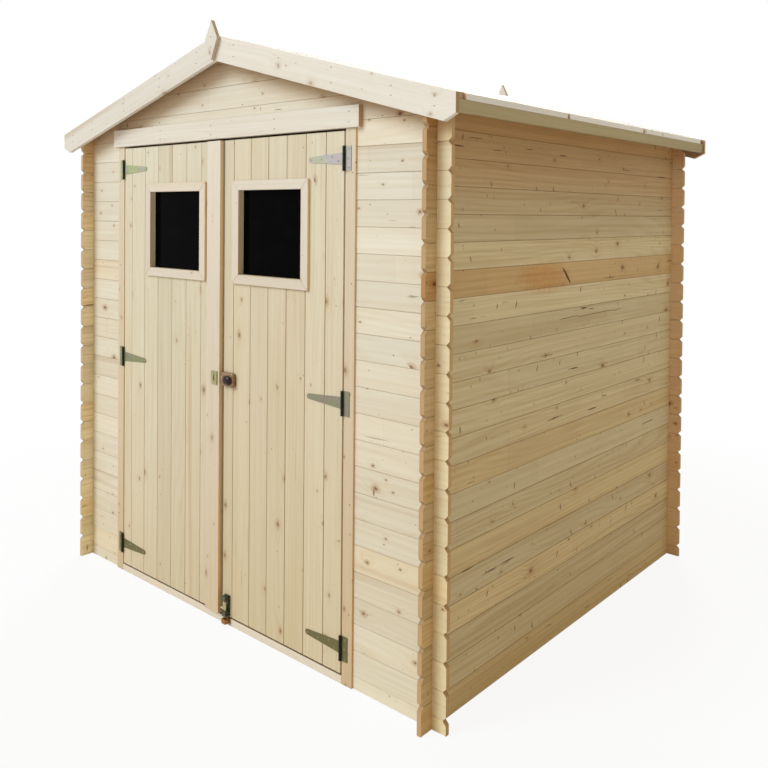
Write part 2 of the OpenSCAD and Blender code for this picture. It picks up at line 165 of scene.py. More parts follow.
def ramp(given, low, high, out_low=0.0, out_high=1.0, kind="SMOOTHSTEP"):
    """given mapped from low..high to out_low..out_high, smoothly unless kind is LINEAR."""
    inputs = {"Value": given, "From Min": low, "From Max": high, "To Min": out_low, "To Max": out_high}
    return value(given.tree, "ShaderNodeMapRange", inputs, "Result", interpolation_type=kind)


def stretch(vector, scale):
    """vector times a constant scale along each axis."""
    return value(vector.tree, "ShaderNodeVectorMath", {0: vector, 1: scale}, operation="MULTIPLY")


def noise(vector, scale, detail=2.0, roughness=0.5):
    """Noise between 0 and 1 on vector times scale."""
    inputs = {"Vector": stretch(vector, scale), "Scale": 1.0, "Detail": detail, "Roughness": roughness}
    return value(vector.tree, "ShaderNodeTexNoise", inputs)


def cells(vector, density):
    """The distance to the middle of each flat random cell, and two chances that the cell has."""
    made = add_node(vector.tree, "ShaderNodeTexVoronoi",
                    {"Vector": stretch(vector, density), "Scale": 1.0}, voronoi_dimensions="2D")
    chances = split(Value(made.outputs["Color"]), "ShaderNodeSeparateColor")
    return Value(made.outputs["Distance"]), chances[0], chances[1]


def mixed(factor, a, b, mode="MIX"):
    """Two colours mixed by factor. With MULTIPLY, a is multiplied with b."""
    inputs = {0: factor}
    for key, colour in ((6, a), (7, b)):
        inputs[key] = colour if isinstance(colour, Value) else (*colour, 1.0)
    return value(factor.tree, "ShaderNodeMix", inputs, 2, data_type="RGBA", blend_type=mode)


def bump(height, strength, distance):
    inputs = {"Strength": strength, "Distance": distance, "Height": height}
    return value(height.tree, "ShaderNodeBump", inputs)


def place(tree):
    """A point's place in the object's own frame."""
    return value(tree, "ShaderNodeTexCoord", output="Object")


def attribute(tree, name, output):
    """What Timber wrote on the boards."""
    return value(tree, "ShaderNodeAttribute", output=output, attribute_name=name)


def at(tree, axis):
    """A point's place along one axis."""
    return split(place(tree))[axis]


def facing(tree, axis):
    """How far a surface faces along one axis."""
    return split(value(tree, "ShaderNodeTexCoord", output="Normal"))[axis]


def cleared(holder):
    """The empty node tree of a material or a world."""
    holder.use_nodes = True
    holder.node_tree.nodes.clear()
    return holder.node_tree


def new_material(name):
    """A material with its tree and its shader's node."""
    material = bpy.data.materials.new(name)
    tree = cleared(material)
    shader = add_node(tree, "ShaderNodeBsdfPrincipled")
    add_node(tree, "ShaderNodeOutputMaterial", {0: Value(shader.outputs[0])})
    return material, tree, shader


# ---- pine ----

def knots(wood, density, share, smallest, largest):
    """Masks for the heart, the ring and the surroundings of knots, which come in loose groups."""
    distance, size, chance = cells(wood, density)
    radius = ramp(size ** 2.0, 0.0, 1.0, smallest, largest)
    group = ramp(noise(wood, (1.7, 3.1, 0.0), 0.0), 0.38, 0.60, 0.25, 1.0)
    there = chance.under(group * share)
    near = distance / radius + noise(wood, (130.0, 130.0, 130.0), 2.0, 0.6) * 0.7
    return [ramp(near, edge, inside) * there for edge, inside in ((1.0, 0.55), (1.9, 1.0), (5.0, 1.0))]


def spikes(wood, luck, share, density=(11.0, 3.6, 0.0)):
    """A mask of knots sawn along their length: short strokes across the grain."""
    along, across, through = split(wood)
    along = along + across * ((luck - 0.5) * 0.9)
    tilted = value(wood.tree, "ShaderNodeCombineXYZ", {0: along, 1: across, 2: through})
    distance, size, chance = cells(tilted, density)
    group = ramp(noise(wood, (1.3, 4.0, 0.0), 0.0), 0.40, 0.60, 0.2, 1.0)
    radius = ramp(size, 0.0, 1.0, 0.022, 0.075)
    near = distance / radius + noise(wood, (160.0, 60.0, 60.0), 2.0, 0.6) * 0.8
    return ramp(near, 1.25, 0.75) * chance.under(group * share)


def under_roof_shade(tree, reach):
    """The mask of painted shade under the roof: 1 right under the roof boards, falling to 0 at reach below
    them. It is measured plumb.
    """
    x, _, z = split(place(tree))
    top = RIDGE - ROOF_V
    return ramp(z + abs(x) * SLOPE, top - reach, top - 0.04)


def pine(name, tones, knot_share=0.5, knot_tone=0.7, crack=0.4, tone=0.10, groove_shade_and_dirt=0.30,
         pieces=0.03, roof_shade=(0.0, 0.1), spike_share=0.0, regions=(), figure=1.0, low=None):
    """Planed pine. Grain runs along the first value of the boards' own coordinates. tones are the
    colours of early and late wood. sheltered is how strongly a red shade is painted under the roof,
    and how far down. pieces is how much the lengths that are jointed into one board differ. A
    spike_share over 1 adds small ticks to the strokes. regions are functions that give a mask
    each, and the colour that the wood is multiplied with there. figure is the strength of the
    grain, and low what the colour is multiplied with at the ground: painted shade, and painted
    light where it is over 1."""
    material, tree, shader = new_material(name)
    wood = attribute(tree, "wood_place", "Vector")
    luck = split(attribute(tree, "board_luck", "Vector"))
    end = attribute(tree, "end_grain", "Fac")
    groove = attribute(tree, "groove", "Fac")
    along, across, through = split(wood)

    heart, ring, swirl = knots(wood, (5.5, 8.0, 0.0), knot_share, 0.035, 0.115)
    speck, _, _ = knots(wood, (9.0, 14.0, 0.0), knot_share * 0.8, 0.030, 0.070)

    # growth rings: stripes along the grain, bent by slow noise and round the knots
    slow = noise(wood, (0.55, 5.5, 5.5))
    bent = across * 46.0 + through * 30.0 + slow * 13.0 + swirl * 1.1
    stripe = (bent * (2.0 * math.pi)).op("SINE")
    late = ramp(stripe, -1.0, 1.0) ** 2.2 * ramp(luck[2], 0.0, 1.0, 0.25, 1.0)
    streak = ramp(noise(wood, (0.7, 75.0, 75.0), 3.0, 0.6), 0.36, 0.68)
    fibre = noise(wood, (9.0, 620.0, 620.0), 2.0, 0.7)
    blotch = ramp(noise(wood, (1.6, 9.0, 9.0), 3.0, 0.6), 0.38, 0.72)
    grain = late * (0.14 * figure)
    for part, weight in ((streak, 0.20 * figure), (fibre, 0.14), (blotch, 0.16), (luck[1], 0.14),
                         (swirl, 0.12)):
        grain = grain + part * weight
    colour = mixed(grain.op("MINIMUM", 1.0), *tones)

    # a few boards carry a long resinous stripe
    resin = ramp(noise(wood, (0.35, 13.0, 13.0), 1.0), 0.63, 0.72)
    resin = resin * ramp(luck[2], 0.45, 0.95, 0.0, 0.5)
    colour = mixed(resin, colour, (0.50, 0.32, 0.155))

    # and a few are browner altogether
    brown = ramp(luck[0], 0.86, 0.90) * min(1.0, tone * 5.0)
    colour = mixed(brown, colour, (0.93, 0.80, 0.58), "MULTIPLY")

    # short lengths jointed end to end differ a little from each other
    length = along * 1.15 + luck[0] * 9.0
    which = value(tree, "ShaderNodeCombineXYZ", {0: length.op("FLOOR"), 1: luck[1]})
    chance = value(tree, "ShaderNodeTexWhiteNoise", {"Vector": which}, "Value", noise_dimensions="2D")
    seam = length.op("FRACT").under(0.0016)
    light = ramp(luck[0], 0.0, 1.0, 1.0 - tone, 1.0 + tone * 0.45)
    light = light * ramp(chance, 0.0, 1.0, 1.0 - pieces, 1.0 + pieces * 0.5)
    light = light * ramp(seam, 0.0, 1.0, 1.0, 1.0 - 3.0 * pieces)
    colour = value(tree, "ShaderNodeHueSaturation", {"Value": light, "Color": colour})

    for mask, strength, dark in (
        (ring, 0.55 * knot_tone, (0.42, 0.235, 0.11)),
        (heart, knot_tone, (0.17, 0.075, 0.035)),
        (speck, knot_tone, (0.15, 0.075, 0.035)),
    ):
        colour = mixed(mask * strength, colour, dark)
    if spike_share > 0:
        stroke = spikes(wood, luck[1], spike_share)
        if spike_share > 1:
            stroke = stroke.most(spikes(wood, luck[2], 0.75, (21.0, 9.0, 0.0)))
        colour = mixed(stroke * 0.8, colour, (0.20, 0.095, 0.045))

    # fine drying cracks along the grain
    cracks = ramp(noise(wood, (4.5, 85.0, 85.0)), 0.70, 0.74)
    cracks = cracks * ramp(noise(wood, (1.4, 3.0, 3.0), 0.0), 0.50, 0.60) * crack
    colour = mixed(cracks, colour, (0.13, 0.065, 0.028))

    # painted shade under the roof boards: the wood is darkened and reddened right under them
    if roof_shade[0] > 0:
        under = under_roof_shade(tree, roof_shade[1]) * roof_shade[0]
        colour = mixed(under, colour, (0.73, 0.50, 0.32), "MULTIPLY")
    rounds = noise(wood, (0.0, 140.0, 260.0)) * 0.5
    colour = mixed(end, colour, mixed(rounds, (0.56, 0.41, 0.235), (0.40, 0.255, 0.12)))
    # painted shade and light by height: the colour is multiplied with low at the ground, less and less up to
    # 2.2 m
    if low:
        painted_height_fade = ramp(at(tree, Z), 2.2, 0.0, kind="LINEAR")
        colour = mixed(painted_height_fade, colour, low, "MULTIPLY")
    for region in regions:
        mask, tint = region(tree)
        colour = mixed(mask, colour, tint, "MULTIPLY")
    # the chamfers along the joints are darkened: painted shade in the V-grooves, and some dirt
    dark = groove * ramp(luck[2], 0.0, 1.0, groove_shade_and_dirt * 0.4, groove_shade_and_dirt)
    colour = mixed(dark, colour, (0.30, 0.19, 0.095))

    height = late * 0.25 + fibre * 0.5 - cracks * 2.0 - heart * 0.5
    set_inputs(shader, {
        "Base Color": colour,
        "Roughness": ramp(fibre, 0.3, 0.7, 0.56, 0.70),
        "Specular IOR Level": 0.25,
        "Normal": bump(height, 0.35, 0.0006),
    })
    return material


# ---- regions of the pine: a mask, and the colour that the wood is multiplied with ----

def in_front(tree):
    """The part of the side walls that stands out in front of the front wall."""
    return ramp(at(tree, Y), fwall_lo.y + 0.012, fwall_lo.y - 0.004)


def on_right(mask):
    """The mask on the right side wall only."""
    return mask * ramp(at(mask.tree, X), 0.1, 0.2)


def edges(tree):
    """The edges of loose boards that face sideways."""
    return ramp(abs(facing(tree, X)), 0.75, 0.95)


def front_log_ends(tree):
    """The right side wall's ends in front of the front wall, darkened and warmed: painted shade."""
    return on_right(in_front(tree)), (0.93, 0.82, 0.70)


def left_log_ends(tree):
    """The left side wall's ends in front of the front wall, on the faces towards the doors, lightened:
    painted light.
    """
    left = ramp(at(tree, X), -0.1, -0.2)
    return left * ramp(facing(tree, X), 0.2, 0.8) * in_front(tree), (1.38, 1.42, 1.55)


def side_log_ends(tree):
    """The front wall's ends that stand out past the side walls, lightened and warmed: painted light."""
    return ramp(abs(at(tree, X)), right_hi.x - 0.006, right_hi.x + 0.002), (1.10, 1.03, 0.85)


def back_log_ends(tree):
    """The inner faces of the back wall's ends that stand out past the side walls, darkened and reddened:
    painted shade.
    """
    beyond = ramp(abs(at(tree, X)), back_hi.x - 0.064, back_hi.x - 0.050)
    return beyond * ramp(facing(tree, Y), 0.0, -0.5), (0.98, 0.74, 0.54)


def sill_top(tree):
    """The top of the sill, greyed: painted shade under the doors, and some dirt."""
    return ramp(facing(tree, Z), 0.5, 0.9), (0.42, 0.36, 0.30)


def trim_edges(tree):
    """The narrow edges of jambs, cover strip, window mouldings and lintel, made warmer: painted warm shade.
    """
    return edges(tree), (1.12, 0.95, 0.71)


def shaded_barge_edges(tree):
    """The sideways edges of bargeboards and finials, darkened: painted shade."""
    return edges(tree), (0.75, 0.70, 0.61)


def inner_faces(tree):
    """The faces of the back bargeboards that look at the wall, darkened and reddened: painted shade under
    the overhang.
    """
    return ramp(facing(tree, Y), -0.5, -0.9), (0.52, 0.33, 0.22)


def brown_row(tree):
    """One browner board of the right side wall."""
    height = abs(at(tree, Z) - BROWN_ROW)
    return on_right(ramp(height, COURSE / 2 + 0.0006, COURSE / 2 - 0.0006)), (0.88, 0.72, 0.54)


def oval_mark(tree, middle, half, lean, rough):
    """Grows from 0 in the middle of an oval to 1 at its edge, which is made ragged by rough. middle
    and half are its place and its half lengths along y and z, and lean is how far it slants
    towards the front for each metre of height."""
    off_y = at(tree, Y) - middle[0]
    off_z = at(tree, Z) - middle[1]
    off_y = off_y + off_z * lean
    wobble = noise(place(tree), (60.0, 60.0, 60.0), 3.0, 0.6) - 0.5
    return abs(off_y / half[0]) ** 2.0 + abs(off_z / half[1]) ** 2.0 + wobble * rough


def slit_knot(tree):
    """The slanting dark knot of the browner board."""
    oval = oval_mark(tree, SLIT_KNOT, (0.009, 0.034), 0.95, 1.1)
    return on_right(ramp(oval, 1.1, 0.5)), (0.17, 0.10, 0.08)


def red_patch(tree):
    """Redder wood beside the slanting knot."""
    oval = oval_mark(tree, RED_PATCH, (0.20, 0.060), 0.3, 2.2)
    return on_right(ramp(oval, 1.3, 0.0)), (0.93, 0.76, 0.60)


def long_crack(tree):
    """A long drying crack that wanders along one board of the right side wall."""
    start, end, height = CRACK
    along = at(tree, Y)
    wander = noise(place(tree), (0.0, 7.0, 0.0), 3.0, 0.6) - 0.5
    off = abs(at(tree, Z) - (wander * CRACK_WANDER + height))
    fade = ramp(along, start, start + 0.05) * ramp(along, end, end - 0.08)
    line = ramp(off / (fade * CRACK_WIDTH + 0.00001), 1.0, 0.6)
    return on_right(line * fade), (0.26, 0.20, 0.16)


# ---- metal, plastic and glass ----

def metal(name, base, tint, dirt, roughness, low=None, knuckle_shade=False):
    """Plated sheet metal: a cloudy tint, duller patches and some dirt in specks. low is the
    darker colour towards the ground, and knuckles blackens what stands out past the hinge plates, as painted
    shade."""
    material, tree, shader = new_material(name)
    here = place(tree)
    x, y, z = split(here)
    cloud = ramp(noise(here, (16.0, 16.0, 16.0), 3.0) + x * 0.22, 0.32, 0.68)
    fine = noise(here, (260.0, 260.0, 260.0), 3.0, 0.6)
    colour = mixed(cloud, base, tint)
    if low:
        colour = mixed(ramp(z, 1.75, 0.25), colour, low)
    colour = mixed(ramp(fine, 0.58, 0.68) * 0.6, colour, dirt)
    # painted shade: what stands out past the hinge plates is made near black
    if knuckle_shade:
        outside = ramp(y, hinge_face - 0.0002, hinge_face - 0.0012)
        colour = mixed(outside, colour, (0.022, 0.021, 0.015))
    set_inputs(shader, {
        "Base Color": colour,
        "Metallic": 0.8,
        "Specular IOR Level": 0.3,
        "Roughness": ramp(fine, 0.3, 0.7, roughness - 0.08, roughness + 0.10),
        "Normal": bump(fine, 0.2, 0.0003),
    })
    return material


def glossy(name, base, patch, roughness, shine=0.4):
    """Enamel or plastic with faint cloudy wear."""
    material, tree, shader = new_material(name)
    wear = ramp(noise(place(tree), (70.0, 70.0, 70.0), 3.0), 0.50, 0.72)
    set_inputs(shader, {
        "Base Color": mixed(wear, base, patch),
        "Roughness": ramp(wear, 0.0, 1.0, roughness, roughness + 0.15),
        "Coat Weight": shine,
        "Coat Roughness": 0.12,
        "Specular IOR Level": shine,
    })
    return material


def dark_glass(name):
    """A pane painted near black in place of the shade of the room behind it, with a faint film of dust."""
    material, tree, shader = new_material(name)
    dust = ramp(noise(place(tree), (9.0, 9.0, 14.0), 4.0, 0.6), 0.45, 0.85)
    set_inputs(shader, {
        "Base Color": mixed(dust * 0.5, (0.0012, 0.0012, 0.0014), (0.004, 0.004, 0.0038)),
        "Roughness": ramp(dust, 0.0, 1.0, 0.07, 0.16),
        "Specular IOR Level": 0.013,
    })
    return material


FRONT_WOOD = {
    "tones": ((0.80, 0.755, 0.615), (0.66, 0.525, 0.33)), "knot_share": 1.0, "knot_tone": 0.8,
    "crack": 0.8, "tone": 0.06, "roof_shade": (0.85, 0.17), "spike_share": 0.10,
}
TRIM_WOOD = {
    "tones": ((0.785, 0.735, 0.635), (0.66, 0.56, 0.40)), "knot_share": 1.0, "knot_tone": 0.45,
    "crack": 0.1, "tone": 0.05, "pieces": 0.0,
}
DOOR_WOOD = {"crack": 0.2, "tone": 0.05, "pieces": 0.0}
# painted shade towards the ground, for the trim and jambs
LOW_SHADE = (0.83, 0.70, 0.53)

PINES = {
    "wall_pine": {**FRONT_WOOD, "regions": (side_log_ends,), "low": (0.95, 0.91, 0.82)},
    "back_pine": {**FRONT_WOOD, "regions": (back_log_ends,)},
    # the side walls' pine: darker and warmer tones than the front's, partly painted shade, and more marks
    "side_pine": {
        "tones": ((0.715, 0.63, 0.40), (0.465, 0.33, 0.15)), "knot_share": 0.45, "knot_tone": 0.9,
        "crack": 1.0, "tone": 0.09, "groove_shade_and_dirt": 0.45, "pieces": 0.04, "roof_shade": (0.95, 0.50),
        "spike_share": 1.8, "figure": 1.5, "low": (1.07, 1.05, 1.0),
        "regions": (front_log_ends, left_log_ends, brown_row, red_patch, slit_knot, long_crack),
    },
    "roof_pine": {"tones": ((0.77, 0.71, 0.55), (0.61, 0.47, 0.28)), "knot_share": 0.9},
    "pale_pine": {**TRIM_WOOD, "regions": (trim_edges,), "low": LOW_SHADE},
    "barge_pine": {**TRIM_WOOD, "regions": (shaded_barge_edges,)},
    "sill_pine": {**TRIM_WOOD, "knot_share": 0.8, "crack": 0.3, "regions": (sill_top,),
                  "low": (0.96, 0.90, 0.80)},
    "lath_pine": {"tones": ((0.89, 0.865, 0.80), (0.83, 0.78, 0.68)), "knot_share": 0.8,
                  "knot_tone": 0.6, "crack": 0.3, "tone": 0.05},
    "jamb_pine": {**TRIM_WOOD, "tones": ((0.74, 0.665, 0.515), (0.60, 0.48, 0.31)),
                  "knot_tone": 0.6, "regions": (trim_edges,), "low": LOW_SHADE},
    "back_trim_pine": {**TRIM_WOOD, "tones": ((0.77, 0.725, 0.625), (0.66, 0.56, 0.40)),
                       "knot_share": 0.9, "knot_tone": 0.4,
                       "regions": (inner_faces,)},
    "left_door_pine": {**DOOR_WOOD, "tones": ((0.735, 0.70, 0.55), (0.60, 0.49, 0.295)),
                       "knot_share": 0.65, "groove_shade_and_dirt": 0.22, "low": (0.90, 0.81, 0.68)},
    "door_pine": {**DOOR_WOOD, "tones": ((0.745, 0.683, 0.515), (0.595, 0.465, 0.268)),
                  "knot_share": 1.0, "knot_tone": 0.65, "groove_shade_and_dirt": 0.7, "low": (0.90, 0.83, 0.70)},
    "brown_pine": {"tones": ((0.47, 0.42, 0.255), (0.31, 0.25, 0.13)), "knot_share": 0.6,
                   "crack": 0.7, "tone": 0.08, "figure": 1.5},
}
# base colour, tint, dirt, roughness, and for the hinges and their screws the colour near the
# ground; True blackens the knuckles as painted shade
METALS = {
    "zinc": ((0.40, 0.44, 0.22), (0.43, 0.385, 0.36), (0.16, 0.15, 0.07), 0.46, (0.17, 0.145, 0.055), True),
    "zinc_screws": ((0.48, 0.47, 0.33), (0.40, 0.38, 0.30), (0.14, 0.12, 0.07), 0.34, (0.34, 0.30, 0.17)),
    "yellow_zinc": ((0.57, 0.56, 0.32), (0.35, 0.31, 0.14), (0.10, 0.08, 0.03), 0.32),
    "dark_zinc": ((0.055, 0.062, 0.035), (0.12, 0.125, 0.075), (0.012, 0.012, 0.008), 0.40),
    "brass": ((0.42, 0.22, 0.075), (0.24, 0.095, 0.03), (0.10, 0.04, 0.015), 0.50),
}
materials = {name: pine(name, **look) for name, look in PINES.items()}
materials.update({name: metal(name, *look) for name, look in METALS.items()})
materials["brown_enamel"] = glossy("brown_enamel", (0.25, 0.125, 0.048), (0.44, 0.29, 0.125), 0.25)
materials["black_plastic"] = glossy("black_plastic", (0.016, 0.004, 0.005), (0.05, 0.012, 0.010), 0.16, 0.18)
materials["dark_glass"] = dark_glass("dark_glass")


def new_piece(name, mesh, material, body, nodes):
    """An object that rides on body and stands for the CAD nodes."""
    mesh.materials.append(materials[material])
    piece = bpy.data.objects.new(name, mesh)
    bpy.context.scene.collection.objects.link(piece)
    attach(piece, body)
    if nodes:
        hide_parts(*nodes)


# ---- boards ----

# Planes that outlines are drawn in: X and Z with depth along Y, and Y and Z with depth along X
FRONT = Matrix(((1, 0, 0, 0), (0, 0, 1, 0), (0, 1, 0, 0), (0, 0, 0, 1)))
SIDE = Matrix(((0, 0, 1, 0), (1, 0, 0, 0), (0, 1, 0, 0), (0, 0, 0, 1)))
ALONG_A = (1, 0, 0)
ALONG_B = (0, 1, 0)
ALONG_DEPTH = (0, 0, 1)


class Timber:
    """Boards gathered into one mesh. Each keeps its own grain coordinates and luck."""

    def __init__(self, name):
        self.name = name
        self.luck = random.Random(name)
        self.points, self.faces = [], []
        self.places, self.lucks, self.ends, self.grooves = [], [], [], []

    def add(self, outline, depth, grain, chamfer, every_edge=False, plane=FRONT):
        """A board: outline drawn in its plane, from depth[0] to depth[1] along its third axis.
        plane puts it into the object's frame, and grain is its grain's direction."""
        bm = bmesh.new()
        near = [bm.verts.new((a, b, depth[0])) for a, b in outline]
        far = [bm.verts.new((a, b, depth[1])) for a, b in outline]
        bm.faces.new(near)
        bm.faces.new(list(reversed(far)))
        count = len(outline)
        for i in range(count):
            j = (i + 1) % count
            bm.faces.new((near[j], near[i], far[i], far[j]))
        bmesh.ops.recalc_face_normals(bm, faces=bm.faces)
        grain = Vector(grain).normalized()
        edges = [e for e in bm.edges if every_edge or self._along(e, grain)]
        bmesh.ops.bevel(bm, geom=edges, offset=chamfer, offset_type="OFFSET", affect="EDGES",
                        segments=2 if every_edge else 1, profile=0.5, clamp_overlap=True)
        bm.normal_update()
        self._keep(bm, plane, grain, not every_edge)
        bm.free()

    def _along(self, edge, grain):
        line = (edge.verts[1].co - edge.verts[0].co).normalized()
        return abs(line.dot(grain)) > 0.999

    def _keep(self, bm, plane, grain, grooved):
        """Adds a board's mesh and what its material reads."""
        across = grain.orthogonal().normalized() if abs(grain.z) > 0.9 else Vector((-grain.y, grain.x, 0))
        through = grain.cross(across)
        shift = Vector([self.luck.uniform(2.0, 60.0) for _ in range(3)])
        luck = [self.luck.random() for _ in range(3)]
        start = len(self.points)
        bm.verts.index_update()
        for v in bm.verts:
            self.points.append(plane @ v.co)
            here = Vector((v.co.dot(grain), v.co.dot(across), v.co.dot(through)))
            self.places.extend(here + shift)
            self.lucks.extend(luck)
        for f in bm.faces:
            self.faces.append([start + v.index for v in f.verts])
            self.ends.append(1.0 if abs(f.normal.dot(grain)) > 0.7 else 0.0)
            slanted = max(abs(f.normal.dot(axis)) for axis in (grain, across, through)) < 0.9
            self.grooves.append(1.0 if slanted and grooved else 0.0)

    def build(self, material, slot, body, *nodes):
        """Makes the object, which rides on body and stands for the CAD nodes."""
        mesh = bpy.data.meshes.new(self.name)
        mesh.from_pydata(self.points, [], self.faces)
        for name, kind, domain, key, values in (
            ("wood_place", "FLOAT_VECTOR", "POINT", "vector", self.places),
            ("board_luck", "FLOAT_VECTOR", "POINT", "vector", self.lucks),
            ("end_grain", "FLOAT", "FACE", "value", self.ends),
            ("groove", "FLOAT", "FACE", "value", self.grooves),
        ):
            mesh.attributes.new(name, kind, domain).data.foreach_set(key, values)
        new_piece(self.name, mesh, material, body, nodes)


def rectangle(a0, b0, a1, b1):
    return [(a0, b0), (a1, b0), (a1, b1), (a0, b1)]


def below(outline, slope, height):
    """The part of an outline under the line b = height + slope * a."""
    kept = []
    for i, p in enumerate(outline):
        q = outline[(i + 1) % len(outline)]
        over_p = p[1] - height - slope * p[0]
        over_q = q[1] - height - slope * q[0]
        if over_p <= 0:
            kept.append(p)
        if (over_p < 0 < over_q) or (over_q < 0 < over_p):
            t = over_p / (over_p - over_q)
            kept.append((p[0] + t * (q[0] - p[0]), p[1] + t * (q[1] - p[1])))
    return kept


def log_outline(a0, a1, b0, b1, cuts, columns, notch0, notch1):
    """A wall board's outline. cuts says which corners are cut off, columns are the places where
    another wall crosses, and notch0 and notch1 are the notches' depths there."""
    left_low, left_high, right_low, right_high = cuts
    columns = sorted(columns)
    outline = [(a0 + END_CUT, b0)] if left_low else [(a0, b0)]
    for c0, c1 in columns:
        if notch0 > 0:
            outline += [(c0, b0), (c0, b0 + notch0), (c1, b0 + notch0), (c1, b0)]
    outline += [(a1 - END_CUT, b0), (a1, b0 + END_CUT)] if right_low else [(a1, b0)]
    outline += [(a1, b1 - END_CUT), (a1 - END_CUT, b1)] if right_high else [(a1, b1)]
    for c0, c1 in reversed(columns):
        if notch1 > 0:
            outline += [(c1, b1), (c1, b1 - notch1), (c0, b1 - notch1), (c0, b1)]
    outline += [(a0 + END_CUT, b1), (a0, b1 - END_CUT)] if left_high else [(a0, b1)]
    if left_low:
        outline.append((a0, b0 + END_CUT))
    return outline


side_columns = [
    (back_lo.y - LAP_PLAY, back_hi.y + LAP_PLAY),
    (fwall_lo.y - LAP_PLAY, fwall_hi.y + LAP_PLAY),
]
right_column = (right_lo.x - LAP_PLAY, right_hi.x + LAP_PLAY)
left_column = (left_lo.x - LAP_PLAY, left_hi.x + LAP_PLAY)
front_y = (fwall_lo.y, fwall_hi.y)
back_y = (back_lo.y, back_hi.y)


# ---- walls ----

def side_wall(node):
    """A side wall's boards, from the ground up to the roof boards."""
    lo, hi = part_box(node)
    timber = Timber(node + "_boards")
    rows = round((hi.z - lo.z) / COURSE)
    for k in range(rows):
        low, high = k > 0, k < rows - 1
        b0 = k * COURSE + HAIRLINE if low else 0.0
        b1 = (k + 1) * COURSE if high else hi.z
        outline = log_outline(lo.y, hi.y, b0, b1, (low, high, low, high), side_columns, QUARTER,
                              b1 - (k + 0.75) * COURSE)
        timber.add(outline, (lo.x, hi.x), ALONG_A, JOINT_CHAMFER, plane=SIDE)
    timber.build("side_pine", "wall_pine", "shed", node)


def front_boards(node, y, a0, a1, columns, material):
    """Boards of a front or back wall up to the joint where the gable starts. columns are the places
    where it crosses side walls, past which its ends stand out."""
    timber = Timber(node + "_boards")
    rows = round(gable_z / COURSE + 0.5)
    left, right = left_column in columns, right_column in columns
    for k in range(rows):
        low = k > 0
        b0 = (k - 0.5) * COURSE + HAIRLINE if low else 0.0
        b1 = (k + 0.5) * COURSE
        outline = log_outline(a0, a1, b0, b1, (low and left, left, low and right, right), columns,
                              QUARTER if low else 0.0, QUARTER)
        timber.add(outline, y, ALONG_A, JOINT_CHAMFER)
    timber.build(material, "wall_pine", "shed", node)


def gable_boards(node, y, doorway=None):
    """Gable boards, cut to the slopes of the roof. doorway is (left, right, head) of the opening."""
    lo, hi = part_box("back_gable")
    timber = Timber(node + "_boards")
    k = 0
    while gable_z + k * COURSE < hi.z - 0.01:
        b0 = gable_z + k * COURSE + HAIRLINE
        b1 = gable_z + (k + 1) * COURSE
        if k == 0:
            outline = log_outline(lo.x, hi.x, b0, b1, (True, False, True, False),
                                  [left_column, right_column], QUARTER, 0.0)
            if doorway:
                left, right, head = doorway
                start = outline.index((hi.x - END_CUT, b0)) - 4
                outline[start:start] = [(left, b0), (left, head), (right, head), (right, b0)]
        else:
            outline = rectangle(lo.x, b0, hi.x, b1)
        for side in (1, -1):
            outline = below(outline, -side * SLOPE, RIDGE - ROOF_V - HAIRLINE)
        timber.add(outline, y, ALONG_A, JOINT_CHAMFER)
        k += 1
    timber.build("wall_pine", "wall_pine", "shed", node)


door_left = jamb_l[0].x + INTO_JAMB
door_right = jamb_r[1].x - INTO_JAMB
side_wall("left_wall")
side_wall("right_wall")
front_boards("front_wall_left", front_y, back_lo.x, door_left, [left_column], "wall_pine")
front_boards("front_wall_right", front_y, door_right, fwall_hi.x, [right_column], "wall_pine")
front_boards("back_wall", back_y, back_lo.x, back_hi.x, [left_column, right_column], "back_pine")
gable_boards("front_gable", front_y, (door_left, door_right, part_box("front_gable")[0].z))
gable_boards("back_gable", back_y)


# ---- loose boards: doorway, roof trim ----

def plain_board(node, material, grain=ALONG_A, body="shed"):
    """A rectangular board in place of a CAD node, with softened edges."""
    lo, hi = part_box(node)
    timber = Timber(node + "_wood")
    timber.add(rectangle(lo.x, lo.z, hi.x, hi.z), (lo.y, hi.y), grain, ARRIS, True)
    timber.build(material, "pale_pine", body, node)


plain_board("door_sill", "sill_pine")
plain_board("left_jamb", "jamb_pine", ALONG_B)
plain_board("right_jamb", "jamb_pine", ALONG_B)
plain_board("lintel_board", "pale_pine")
plain_board("meeting_strip", "pale_pine", ALONG_B, "left_leaf")


def spans(node, axis):
    """From where to where each of a CAD node's equal boards reaches along an axis."""
    stops = sorted({round(v.co[axis], 4) for v in frame["nodes"][node].data.vertices})
    return list(zip(stops[0::2], stops[1::2]))


def traced(node):
    """The outline of a CAD plate in X and Z, from the vertices of its front face in order."""
    mesh = frame["nodes"][node].data
    lo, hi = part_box(node)
    points = {(round(v.co.x, 5), round(v.co.z, 5)) for v in mesh.vertices if v.co.y < lo.y + 1e-4}
    cx = sum(p[0] for p in points) / len(points)
    cz = sum(p[1] for p in points) / len(points)
    return sorted(points, key=lambda p: math.atan2(p[1] - cz, p[0] - cx)), (lo.y, hi.y)


def traced_board(node, material, grain, chamfer=ARRIS, slot="pale_pine"):
    outline, depth = traced(node)
    timber = Timber(node + "_wood")
    timber.add(outline, depth, grain, chamfer, True)
    timber.build(material, slot, "shed", node)


def up_slope(side):
    return (math.cos(ROOF_PITCH), -side * math.sin(ROOF_PITCH), 0)


for end, trim in (("front", "barge_pine"), ("back", "back_trim_pine")):
    for side_name, side in SIDES:
        traced_board(f"{end}_{side_name}_bargeboard", trim, up_slope(side))
    traced_board(f"{end}_finial", "barge_pine", ALONG_B, FINIAL_ARRIS)
for side_name, _ in SIDES:
    traced_board(f"{side_name}_fascia", "brown_pine", ALONG_DEPTH, THIN_ARRIS, "brown_pine")
traced_board("ridge_beam", "wall_pine", ALONG_DEPTH)


